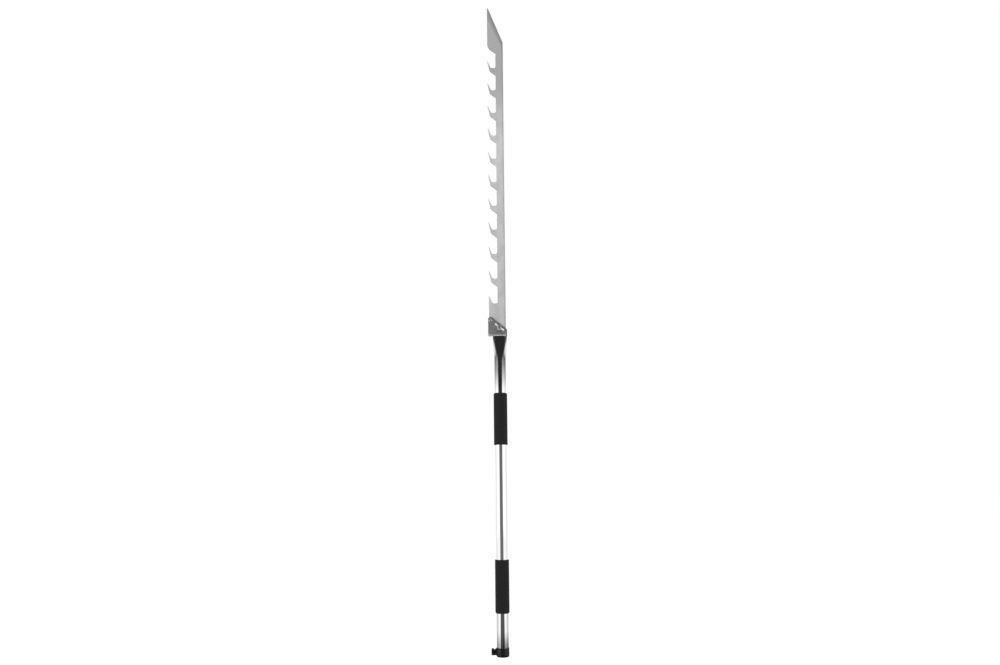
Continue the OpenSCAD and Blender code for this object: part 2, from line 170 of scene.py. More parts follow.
def pick(test):
    """In edit mode, selects the vertices whose place passes a test."""
    bpy.ops.mesh.select_mode(type="VERT")
    bpy.ops.mesh.select_all(action="DESELECT")
    mesh = bmesh.from_edit_mesh(bpy.context.edit_object.data)
    for vertex in mesh.verts:
        vertex.select = test(vertex.co)
    mesh.select_flush_mode()
    bmesh.update_edit_mesh(bpy.context.edit_object.data)


def finish_piece(piece, name, body, material, replaced):
    """Names a piece, gives it its finish, hangs it on its body and hides the nodes it stands for."""
    piece.name = piece.data.name = name
    piece.data.materials.clear()
    piece.data.materials.append(material)
    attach(piece, body)
    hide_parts(*replaced)


def apply_modifier(piece, kind, **values):
    """Adds a modifier with these values and applies it."""
    select_only(piece)
    modifier = piece.modifiers.new(kind.title(), kind)
    for key, value in values.items():
        setattr(modifier, key, value)
    bpy.ops.object.modifier_apply(modifier=modifier.name)


def turned(profile, origin, axis, steps, closed=False):
    """A turned piece: a ring is drawn out along the axis through a profile of radius and height.
    Where closed is false both ends are capped, and otherwise the last ring joins the first."""
    bpy.ops.object.select_all(action="DESELECT")
    radius, height = profile[0]
    turn = axis.to_track_quat("Z", "Y").to_euler()
    bpy.ops.mesh.primitive_circle_add(vertices=steps, radius=radius, location=origin + axis * height,
                                      rotation=turn)
    piece = bpy.context.object
    bpy.ops.object.transform_apply(location=True, rotation=True, scale=True)
    bpy.ops.object.mode_set(mode="EDIT")
    bpy.ops.mesh.select_all(action="SELECT")
    if not closed:
        bpy.ops.mesh.edge_face_add()
    for next_radius, next_height in profile[1:]:
        step = axis * (next_height - height)
        extrude = bpy.ops.mesh.extrude_edges_move if closed else bpy.ops.mesh.extrude_region_move
        extrude(TRANSFORM_OT_translate={"value": step})
        bpy.ops.transform.resize(value=(next_radius / radius,) * 3,
                                 center_override=origin + axis * next_height)
        radius, height = next_radius, next_height
    if closed:
        bpy.ops.mesh.select_all(action="SELECT")
        bpy.ops.mesh.remove_doubles(threshold=0.002 * MM)
    bpy.ops.mesh.select_all(action="SELECT")
    bpy.ops.mesh.normals_make_consistent(inside=False)
    bpy.ops.object.mode_set(mode="OBJECT")
    return piece


def arc(centre, radius, start, end, steps):
    """Profile points on an arc, from one angle in degrees to another."""
    angles = [math.radians(start + (end - start) * i / steps) for i in range(steps + 1)]
    return [(centre[0] + radius * math.cos(a), centre[1] + radius * math.sin(a)) for a in angles]


def merged_copy(node):
    """A copy of a node whose loose triangles are joined and whose flat faces are whole again."""
    piece = frame["nodes"][node].copy()
    piece.data = piece.data.copy()
    piece.parent = None
    for key in [key for key in piece.keys() if key.startswith("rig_")]:
        del piece[key]
    bpy.context.scene.collection.objects.link(piece)
    select_only(piece)
    if "custom_normal" in piece.data.attributes:
        piece.data.attributes.remove(piece.data.attributes["custom_normal"])
    bpy.ops.object.mode_set(mode="EDIT")
    bpy.ops.mesh.select_all(action="SELECT")
    bpy.ops.mesh.remove_doubles(threshold=0.004 * MM)
    bpy.ops.mesh.dissolve_limited(angle_limit=math.radians(0.5))
    bpy.ops.object.mode_set(mode="OBJECT")
    return piece


def eased(node, width, smooth=SHARP):
    """A copy of a cut or forged piece with its edges slightly rounded."""
    piece = merged_copy(node)
    bpy.ops.object.shade_smooth_by_angle(angle=smooth)
    apply_modifier(piece, "BEVEL", width=width, segments=2, limit_method="ANGLE", angle_limit=SHARP,
                   use_clamp_overlap=True, harden_normals=True)
    return piece


def moulded(node, voxel, rounds):
    """A copy of a cast or moulded piece whose edges and corners are softened all over."""
    piece = merged_copy(node)
    apply_modifier(piece, "REMESH", mode="VOXEL", voxel_size=voxel, use_smooth_shade=True)
    apply_modifier(piece, "SMOOTH", factor=0.5, iterations=rounds)
    return piece


def add_node(tree, kind, inputs=None, **settings):
    """Adds a node with these settings, and links or sets its inputs."""
    node = tree.nodes.new(kind)
    for key, value in settings.items():
        setattr(node, key, value)
    for key, value in (inputs or {}).items():
        if isinstance(value, bpy.types.NodeSocket):
            tree.links.new(value, node.inputs[key])
        else:
            node.inputs[key].default_value = value
    return node


def soft_step(tree, value, start, end, first, last):
    """Maps a value from one range to another, smoothly and clamped."""
    spans = {"Value": value, "From Min": start, "From Max": end, "To Min": first, "To Max": last}
    return add_node(tree, "ShaderNodeMapRange", spans, interpolation_type="SMOOTHSTEP").outputs["Result"]


class Finish:
    """A material in the making: its shader, and short ways to add and join nodes."""

    def __init__(self, name, color, metallic, roughness):
        self.material = bpy.data.materials.new(name)
        self.material.use_nodes = True
        self.tree = self.material.node_tree
        self.add = partial(add_node, self.tree)
        self.spread = partial(soft_step, self.tree)
        self.shader = self.tree.nodes["Principled BSDF"]
        self.set("Base Color", (*color, 1))
        self.set("Metallic", metallic)
        self.set("Roughness", roughness)
        self.place = self.add("ShaderNodeTexCoord").outputs["Object"]

    def set(self, socket, value):
        self.shader.inputs[socket].default_value = value

    def feed(self, output, socket):
        self.tree.links.new(output, self.shader.inputs[socket])

    def stretched(self, scale):
        """Object coordinates, in repeats per metre along each axis."""
        return self.add("ShaderNodeMapping", {"Vector": self.place, "Scale": scale}).outputs["Vector"]

    def noise(self, scale, detail):
        return self.add("ShaderNodeTexNoise", {"Vector": self.stretched(scale), "Scale": 1.0,
                                               "Detail": detail, "Roughness": 0.55}).outputs["Fac"]

    def patches(self, scale, detail, start, end, share):
        """A share that is 0 apart from patches of noise, where it rises to the given one."""
        return self.spread(self.noise((scale,) * 3, detail), start, end, 0.0, share)

    def cells(self, scale):
        return self.add("ShaderNodeTexVoronoi",
                        {"Vector": self.stretched(scale), "Scale": 1.0}).outputs["Distance"]

    def math(self, operation, first, second=0.0):
        return self.add("ShaderNodeMath", {0: first, 1: second}, operation=operation).outputs["Value"]

    def vector(self, operation, first, second=(0, 0, 0)):
        """A vector, or for a distance, a length or a dot product its value."""
        node = self.add("ShaderNodeVectorMath", {0: first, 1: second}, operation=operation)
        return node.outputs["Value" if operation in ("DISTANCE", "LENGTH", "DOT_PRODUCT") else "Vector"]

    def axes(self):
        """The parts of the place along X, Y and Z."""
        return self.add("ShaderNodeSeparateXYZ", {"Vector": self.place}).outputs

    def mix(self, share, first, second):
        """Colour between two colours."""
        node = self.add("ShaderNodeMix", data_type="RGBA")
        sockets = [s for s in node.inputs if s.enabled]
        for socket, value in zip(sockets, (share, first, second)):
            if isinstance(value, bpy.types.NodeSocket):
                self.tree.links.new(value, socket)
            else:
                socket.default_value = value if isinstance(value, float) else (*value, 1)
        return [s for s in node.outputs if s.enabled][0]

    def normal(self):
        """Size of the face normal's part across the saw."""
        turn = self.add("ShaderNodeSeparateXYZ",
                        {"Vector": self.add("ShaderNodeNewGeometry").outputs["True Normal"]})
        return self.math("ABSOLUTE", turn.outputs["Y"])

    def bump(self, height, strength, distance):
        bumped = self.add("ShaderNodeBump", {"Height": height, "Strength": strength, "Distance": distance})
        self.feed(bumped.outputs["Normal"], "Normal")


def builders(tree):
    """Empties a node tree and gives short ways to add any node, a sum and a soft step to it."""
    tree.nodes.clear()
    node = partial(add_node, tree)

    def number(operation, first, second=0.0, third=0.0):
        return node("ShaderNodeMath", {0: first, 1: second, 2: third}, operation=operation).outputs[0]

    return node, number, partial(soft_step, tree)


def shade(color, factor):
    """A colour made lighter or darker."""
    return tuple(min(1.0, c * factor) for c in color)


def satin_steel(color):
    """Satin steel: faint lines along the blade, darker blotches and specks, striped cut edges, and painted
    shade:
    a darker point, a darker sloping back and back edge, and a dark ground bevel."""
    steel = Finish("satin_steel", color, 0.3, 0.48)
    lines = steel.noise((1400, 1400, 22), 4)
    blotch = steel.noise((70, 70, 30), 4)
    tone = steel.mix(steel.spread(blotch, 0.35, 0.7, 0.0, 1.0), shade(color, 1.05), shade(color, 0.9))
    specks = steel.math("MULTIPLY", steel.patches(330, 3, 0.63, 0.7, 0.7),
                        steel.patches(45, 2, 0.45, 0.6, 1.0))
    tone = steel.mix(specks, tone, shade(color, 0.4))
    facing = steel.normal()
    ground = steel.math("MULTIPLY", steel.spread(facing, 0.8, 0.86, 0.0, 1.0),
                        steel.spread(facing, 0.955, 0.985, 1.0, 0.0))
    place = steel.axes()
    # Painted shade: the point is painted darker towards its tip
    darker_from, dark_from = 1.14, 1.36
    tone = steel.mix(steel.spread(place["Z"], darker_from, dark_from, 0.0, 1.0), tone, shade(color, 0.62))
    back, tip = high("blade").x, high("blade").z
    shoulder = (back, 0, tip - POINT_SLOPE)
    across_slope = Vector((POINT_SLOPE, 0, back - low("blade").x)).normalized()
    inwards = steel.vector("DOT_PRODUCT", steel.vector("SUBTRACT", shoulder, steel.place), across_slope)
    # Painted shade: a dark band painted along the sloping back of the point, fading inwards
    tone = steel.mix(steel.spread(inwards, 1 * MM, 13 * MM, 0.85, 0.0), tone, shade(color, 0.36))
    # Painted shade: a faint dark strip painted along the back edge, stronger near the top
    line = steel.math("MULTIPLY", steel.spread(place["X"], back - 4 * MM, back - 1.6 * MM, 0.0, 1.0),
                      steel.spread(place["Z"], 1.25, 1.32, 0.45, 1.0))
    tone = steel.mix(line, tone, shade(color, 0.45))
    # Painted shade: the faces of the ground bevel, picked by their normal, are painted darker
    tone = steel.mix(ground, tone, shade(color, 0.34))
    stripes = steel.noise((500, 60, 500), 2)
    edge = steel.mix(stripes, shade(color, 0.35), shade(color, 0.8))
    steel.feed(steel.mix(steel.spread(facing, 0.5, 0.8, 0.0, 1.0), edge, tone), "Base Color")
    steel.feed(steel.spread(ground, 0.0, 1.0, 0.3, 0.4), "Metallic")
    satin = steel.math("ADD", lines, steel.math("MULTIPLY", blotch, 0.5))
    steel.feed(steel.spread(satin, 0.4, 1.1, 0.42, 0.56), "Roughness")
    steel.bump(lines, 0.12, 0.05 * MM)
    return steel.material


def dark_plate(color):
    """Dark hot-rolled plate: mill scale with flecks and soot, a painted reflection lighting the lower left
    corner, a painted highlight along the lower edge, dark patches along the slope and bright worn edges."""
    steel = Finish("dark_plate", color, 0.4, 0.55)
    scale = steel.noise((260, 260, 260), 5)
    tone = steel.mix(steel.spread(scale, 0.35, 0.7, 0.0, 1.0), shade(color, 1.15), shade(color, 0.85))
    hem = low("weld_bead").z
    corner = (low("front_cheek").x, low("front_cheek").y, hem)
    away = steel.vector("DISTANCE", steel.place, corner)
    # Painted reflection: lighter towards the lower left corner
    tone = steel.mix(steel.spread(away, 1 * MM, 9 * MM, 0.7, 0.0), tone, shade(color, 2.1))
    flecks = steel.math("MULTIPLY", steel.patches(360, 3, 0.6, 0.68, 0.75),
                        steel.spread(away, 20 * MM, 30 * MM, 1.0, 0.0))
    tone = steel.mix(flecks, tone, shade(color, 2.3))
    soot = steel.patches(240, 4, 0.58, 0.68, 0.75)
    tone = steel.mix(soot, tone, shade(color, 0.4))
    place = steel.axes()
    # Painted highlight: a lighter band along the lower edge, at the left
    lower_edge_highlight = steel.math("MULTIPLY", steel.spread(place["Z"], hem + 0.5 * MM, hem + 3.5 * MM, 1.0, 0.0),
                        steel.spread(place["X"], -14 * MM, -10 * MM, 1.0, 0.0))
    tone = steel.mix(steel.math("MULTIPLY", lower_edge_highlight, 0.9), tone, shade(color, 2.8))
    across_slope = (0.66, 0, 0.75)
    slope = steel.vector("DOT_PRODUCT", steel.vector("SUBTRACT", steel.place, PIVOT), across_slope)
    # Darker patches along the sloping edge
    dark_slope_patches = steel.math("MULTIPLY", steel.spread(slope, 0.0, 4 * MM, 0.0, 1.0),
                         steel.patches(210, 4, 0.42, 0.55, 0.8))
    tone = steel.mix(dark_slope_patches, tone, shade(color, 0.45))
    bevel = steel.normal()
    worn = steel.math("MULTIPLY", steel.spread(bevel, 0.15, 0.5, 0.0, 1.0),
                      steel.spread(bevel, 0.8, 0.98, 1.0, 0.0))
    steel.feed(steel.mix(worn, tone, shade(color, 2.6)), "Base Color")
    steel.feed(steel.spread(scale, 0.3, 0.75, 0.46, 0.64), "Roughness")
    steel.bump(scale, 0.25, 0.06 * MM)
    return steel.material


def chrome_plate(color):
    """Bright chrome with the faintest smudges and rubbing lines."""
    chrome = Finish("chrome_plate", color, 1.0, 0.04)
    smudge = chrome.noise((55, 55, 25), 5)
    lines = chrome.noise((2600, 2600, 40), 2)
    chrome.feed(chrome.spread(smudge, 0.45, 0.75, 0.03, 0.11), "Roughness")
    chrome.bump(lines, 0.02, 0.01 * MM)
    return chrome.material


def foam_skin(color):
    """Black closed-cell foam: matt, with fine pores and a few larger ones."""
    foam = Finish("foam_skin", color, 0.0, 0.88)
    pores = foam.cells((1500, 1500, 1500))
    coarse = foam.noise((420, 420, 420), 4)
    foam.set("Sheen Weight", 0.05)
    foam.set("Sheen Roughness", 0.6)
    foam.set("Specular IOR Level", 0.2)
    foam.feed(foam.mix(foam.spread(pores, 0.1, 0.6, 0.0, 1.0), shade(color, 0.6), shade(color, 1.35)),
              "Base Color")
    foam.feed(foam.spread(coarse, 0.3, 0.7, 0.8, 0.96), "Roughness")
    foam.bump(foam.math("ADD", pores, foam.math("MULTIPLY", coarse, 0.8)), 0.5, 0.12 * MM)
    return foam.material


def moulded_plastic(color):
    """Glossy black plastic with a faint flow texture and small scuffs."""
    plastic = Finish("moulded_plastic", color, 0.0, 0.22)
    flow = plastic.noise((160, 160, 420), 4)
    scuffs = plastic.patches(900, 3, 0.6, 0.75, 0.5)
    plastic.feed(plastic.mix(scuffs, color, shade(color, 2.4)), "Base Color")
    plastic.feed(plastic.spread(flow, 0.3, 0.75, 0.16, 0.34), "Roughness")
    plastic.bump(flow, 0.1, 0.05 * MM)
    return plastic.material


def zinc_plate(color):
    """Bright zinc with a light spangle and duller hollows."""
    zinc = Finish("zinc_plate", color, 1.0, 0.25)
    spangle = zinc.cells((650, 650, 650))
    cloud = zinc.noise((300, 300, 300), 4)
    zinc.feed(zinc.mix(zinc.spread(cloud, 0.35, 0.7, 0.0, 1.0), shade(color, 1.08), shade(color, 0.82)),
              "Base Color")
    zinc.feed(zinc.spread(zinc.math("ADD", spangle, cloud), 0.4, 1.4, 0.16, 0.36), "Roughness")
    zinc.bump(cloud, 0.08, 0.04 * MM)
    return zinc.material


def cast_zinc(color):
    """Satin zinc of the wing nut: wings near white, partly a painted highlight, and painted shade darkening
    the centre round the bolt.
    """
    zinc = Finish("cast_zinc", color, 0.12, 0.3)
    cloud = zinc.noise((420, 420, 420), 4)
    flat = zinc.vector("MULTIPLY", zinc.vector("SUBTRACT", zinc.place, LOCK), (1, 0, 1))
    out = zinc.vector("LENGTH", flat)
    tone = zinc.mix(zinc.spread(cloud, 0.35, 0.7, 0.0, 1.0), shade(color, 1.05), shade(color, 0.95))
    # Painted shade: the centre round the bolt is painted darker, as in shadow
    hub_shade = zinc.spread(out, 3.6 * MM, 5 * MM, 0.8, 0.0)
    zinc.feed(zinc.mix(hub_shade, tone, shade(color, 0.45)), "Base Color")
    zinc.feed(zinc.spread(cloud, 0.3, 0.75, 0.28, 0.46), "Roughness")
    zinc.bump(cloud, 0.1, 0.05 * MM)
    return zinc.material


def bright_weld(color):
    """Bright weld with heat-tinted, darker valleys."""
    weld = Finish("bright_weld", color, 0.35, 0.5)
    scale = weld.noise((500, 500, 500), 4)
    weld.feed(weld.mix(weld.spread(scale, 0.45, 0.75, 0.0, 1.0), shade(color, 0.9), shade(color, 0.4)),
              "Base Color")
    weld.feed(weld.spread(scale, 0.3, 0.75, 0.4, 0.6), "Roughness")
    weld.bump(scale, 0.2, 0.05 * MM)
    return weld.material


def plain_nylon(color):
    """Plain off-white nylon with a soft mottle."""
    plain = Finish("plain_nylon", color, 0.0, 0.5)
    mottle = plain.noise((300, 300, 300), 3)
    plain.set("Subsurface Weight", 0.1)
    plain.feed(plain.mix(mottle, color, shade(color, 0.85)), "Base Color")
    plain.feed(plain.spread(mottle, 0.3, 0.7, 0.42, 0.58), "Roughness")
    return plain.material


MAKERS = {"blade": satin_steel, "bracket": dark_plate, "chrome": chrome_plate, "foam": foam_skin,
          "plastic": moulded_plastic, "zinc": zinc_plate, "wing": cast_zinc, "weld": bright_weld,
          "nylon": plain_nylon}


def finish_of(name):
    """The material of one finish, made on its first use."""
    made = bpy.data.materials.get(MAKERS[name].__name__)
    return made or MAKERS[name](tuple(getattr(bpy.context.scene.saw_finishes, name)))


class SAW_OT_tube(Operator):
    """Chromed handle tube, drawn up from a ring and pressed flat at its upper end"""
    bl_idname = "saw.tube"
    bl_label = "Handle Tube"

    def execute(self, context):
        sizes = context.scene.saw_sizes
        foot, top = low("handle_tube").z, high("handle_tube").z
        half_rim = high("handle_tube").x - RIM_INSET
        steps, rings = sizes.round_steps, FLARE_RINGS
        radius = sizes.tube_radius
        bpy.ops.object.select_all(action="DESELECT")
        bpy.ops.mesh.primitive_circle_add(vertices=steps, radius=radius, location=(0, 0, foot),
                                          rotation=(0, 0, math.pi / steps))
        tube = context.object
        bpy.ops.object.transform_apply(location=True, rotation=True, scale=True)
        bpy.ops.object.mode_set(mode="EDIT")
        bpy.ops.mesh.select_all(action="SELECT")
        straight = top - sizes.flare_length - foot
        for part in range(STRAIGHT_RINGS):
            bpy.ops.mesh.extrude_edges_move(
                TRANSFORM_OT_translate={"value": (0, 0, straight / STRAIGHT_RINGS)})
        # Each ring is two half circles of radius bend, each moved out from the axis by spread
        spread, bend = 0.0, radius
        for ring in range(1, rings + 1):
            bpy.ops.mesh.extrude_edges_move(
                TRANSFORM_OT_translate={"value": (0, 0, sizes.flare_length / rings)})
            height = top - sizes.flare_length * (1 - ring / rings)
            rise = max(0.0, ring / rings - STILL_ROUND) / (1 - STILL_ROUND)
            share = rise * rise * (3 - 2 * rise)
            depth = radius + (sizes.rim_depth - radius) * share
            self.part_halves(height, -spread)
            bpy.ops.transform.resize(value=(depth / bend, depth / bend, 1), center_override=(0, 0, height))
            spread, bend = radius + (half_rim - radius) * share - depth, depth
            self.part_halves(height, spread)
        self.face_outwards()
        bpy.ops.object.mode_set(mode="OBJECT")
        apply_modifier(tube, "SOLIDIFY", thickness=sizes.tube_wall, offset=-1, use_even_offset=True)
        bpy.ops.object.shade_smooth_by_angle(angle=math.radians(40))
        finish_piece(tube, "chromed_tube", "handle", finish_of("chrome"), ("handle_tube",))
        return {"FINISHED"}

    @staticmethod
    def face_outwards():
        """Turns the open shell so that its faces look away from its axis, for the wall to grow inwards."""
        bpy.ops.mesh.select_all(action="SELECT")
        bpy.ops.mesh.normals_make_consistent(inside=False)
        mesh = bmesh.from_edit_mesh(bpy.context.edit_object.data)
        if sum(face.normal.xy.dot(face.calc_center_median().xy) for face in mesh.faces) < 0:
            bpy.ops.mesh.flip_normals()

    @staticmethod
    def part_halves(height, distance):
        """Moves the left and right half of the ring at a height apart, and selects the whole ring again."""
        for side in (-1, 1):
            pick(lambda co: abs(co.z - height) < SAME_HEIGHT and co.x * side > 0)
            bpy.ops.transform.translate(value=(side * distance, 0, 0))
        pick(lambda co: abs(co.z - height) < SAME_HEIGHT)


class SAW_OT_grips(Operator):
    """Two foam sleeves with a rounded outer end and a hollow inner end"""
    bl_idname = "saw.grips"
    bl_label = "Foam Grips"

    def execute(self, context):
        for node, outer in (("upper_grip", 1), ("lower_grip", -1)):
            self.sleeve(context.scene.saw_sizes, node, outer)
        return {"FINISHED"}

    @staticmethod
    def sleeve(sizes, node, outer):
        """Its profile goes from the hollow over a small lip and up the skin to the rounded outer end, and
        back down the bore."""
        length = high(node).z - low(node).z
        radius, bore = sizes.grip_radius, sizes.tube_radius + 0.02 * MM
        ease, cup = sizes.grip_round, sizes.grip_cup
        lip = 0.9 * MM
        profile = [(bore, cup)]
        profile += [(bore + (radius - lip - bore) * t, cup * (1 - t * t)) for t in (0.25, 0.5, 0.75)]
        profile += arc((radius - lip, lip), lip, -90, 0, 6)
        rows = 90
        profile += [(radius, lip + (length - ease - lip) * i / rows) for i in range(1, rows)]
        profile += [(bore + (radius - bore) * math.cos(a), length + ease * (math.sin(a) - 1))
                    for a in (math.radians(7.5 * i) for i in range(13))]
        profile += [(bore, length / 2), (bore, cup)]
        start = Vector((0, 0, low(node).z if outer > 0 else high(node).z))
        grip = turned(profile, start, UP * outer, sizes.round_steps, closed=True)
        wrinkle = bpy.data.textures.new(node + "_swell", "CLOUDS")
        wrinkle.noise_scale = 9 * MM
        apply_modifier(grip, "DISPLACE", texture=wrinkle, texture_coords="LOCAL", strength=-0.12 * MM,
                       mid_level=0.0)
        bpy.ops.object.shade_smooth_by_angle(angle=math.radians(50))
        finish_piece(grip, "foam_" + node, "handle", finish_of("foam"), (node,))


class SAW_OT_cap(Operator):
    """Moulded end cap with the catch for the folded blade"""
    bl_idname = "saw.cap"
    bl_label = "End Cap"

    def execute(self, context):
        cap = moulded("end_cap", 0.26 * MM, 5)
        finish_piece(cap, "moulded_end_cap", "handle", finish_of("plastic"), ("end_cap",))
        return {"FINISHED"}


class SAW_OT_blade(Operator):
    """Hook-toothed blade with slightly eased edges"""
    bl_idname = "saw.blade"
    bl_label = "Blade"

    def execute(self, context):
        blade = eased("blade", 0.16 * MM, smooth=math.radians(19))
        finish_piece(blade, "satin_blade", "blade", finish_of("blade"), ("blade",))
        return {"FINISHED"}


class SAW_OT_bracket(Operator):
    """Cheeks and spacer of the bracket, with the weld along the rim"""
    bl_idname = "saw.bracket"
    bl_label = "Bracket"

    def execute(self, context):
        steel = finish_of("bracket")
        for node in ("front_cheek", "rear_cheek", "spacer_plate"):
            finish_piece(eased(node, 0.3 * MM), "eased_" + node, "handle", steel, (node,))
        bead = moulded("weld_bead", 0.16 * MM, 2)
        bpy.ops.object.mode_set(mode="EDIT")
        bpy.ops.mesh.select_all(action="SELECT")
        bpy.ops.transform.resize(value=WELD_LAP, center_override=(0, 0, high("weld_bead").z))
        bpy.ops.object.mode_set(mode="OBJECT")
        finish_piece(bead, "rippled_weld", "handle", finish_of("weld"), ("weld_bead",))
        return {"FINISHED"}


class SAW_OT_fasteners(Operator):
    """Pivot bolt, its nut and washers, lock bolt and wing nut"""
    bl_idname = "saw.fasteners"
    bl_label = "Fasteners"

    def execute(self, context):
        zinc = finish_of("zinc")
        for node, body in (("pivot_nut", "handle"), ("pivot_washer", "handle"),
                           ("nut_washer", "nut_washer")):
            finish_piece(eased(node, 0.2 * MM), "zinc_" + node, body, zinc, (node,))
        sizes = context.scene.saw_sizes
        for node, place, way, start, radius, pitch in (
                ("lock_bolt", LOCK, TOWARDS_NUT, 5.0 * MM, sizes.lock_radius, sizes.thread_pitch),
                ("pivot_bolt", PIVOT, -TOWARDS_NUT, 6.4 * MM, sizes.pivot_radius, sizes.pivot_pitch)):
            bolt = self.threaded(node, place, way, start, radius, pitch)
            finish_piece(bolt, "zinc_" + node, "handle", zinc, (node,))
        wing = moulded("wing_nut", 0.2 * MM, 5)
        finish_piece(wing, "cast_wing_nut", "wing_nut", finish_of("wing"), ("wing_nut",))
        plain = finish_of("nylon")
        for node in ("friction_washers", "nut_insert"):
            shown = frame["nodes"][node]
            shown.data.materials.clear()
            shown.data.materials.append(plain)
        return {"FINISHED"}

    @staticmethod
    def threaded(node, place, way, start, radius, pitch):
        """A bolt whose plain shank is cut off at a distance from the plane of the saw, and goes on as a
        threaded rod to its end."""
        end = max(corner.dot(way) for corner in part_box(node))
        head = eased(node, 0.2 * MM)
        bpy.ops.object.mode_set(mode="EDIT")
        bpy.ops.mesh.select_all(action="SELECT")
        bpy.ops.mesh.bisect(plane_co=place + way * start, plane_no=way, use_fill=True, clear_outer=True)
        bpy.ops.object.mode_set(mode="OBJECT")
        rings = int((end - start) / pitch * THREAD_RINGS)
        rise = (end - start) / rings
        profile = [(radius, start + rise * i) for i in range(rings + 1)]
        rod = turned(profile, place, way, 40)
        bpy.ops.object.mode_set(mode="EDIT")
        mesh = bmesh.from_edit_mesh(rod.data)
        for vertex in mesh.verts:
            height = (vertex.co - place).dot(way)
            out = vertex.co - place - way * height
            turn = math.atan2(out.x * -way.y, out.z) / math.tau
            valley = abs(((height / pitch - turn) % 1) * 2 - 1)
            eased_end = min(1.0, (end - height) / pitch + 0.35)
            cut = pitch * THREAD_DEPTH / radius * (1 - eased_end * (1 - valley))
            vertex.co = place + way * height + out * (1 - cut)
        bmesh.update_edit_mesh(rod.data)
        bpy.ops.object.mode_set(mode="OBJECT")
        bpy.ops.object.shade_smooth_by_angle(angle=math.radians(25))
        select_only(head)
        rod.select_set(True)
        bpy.ops.object.join()
        return head


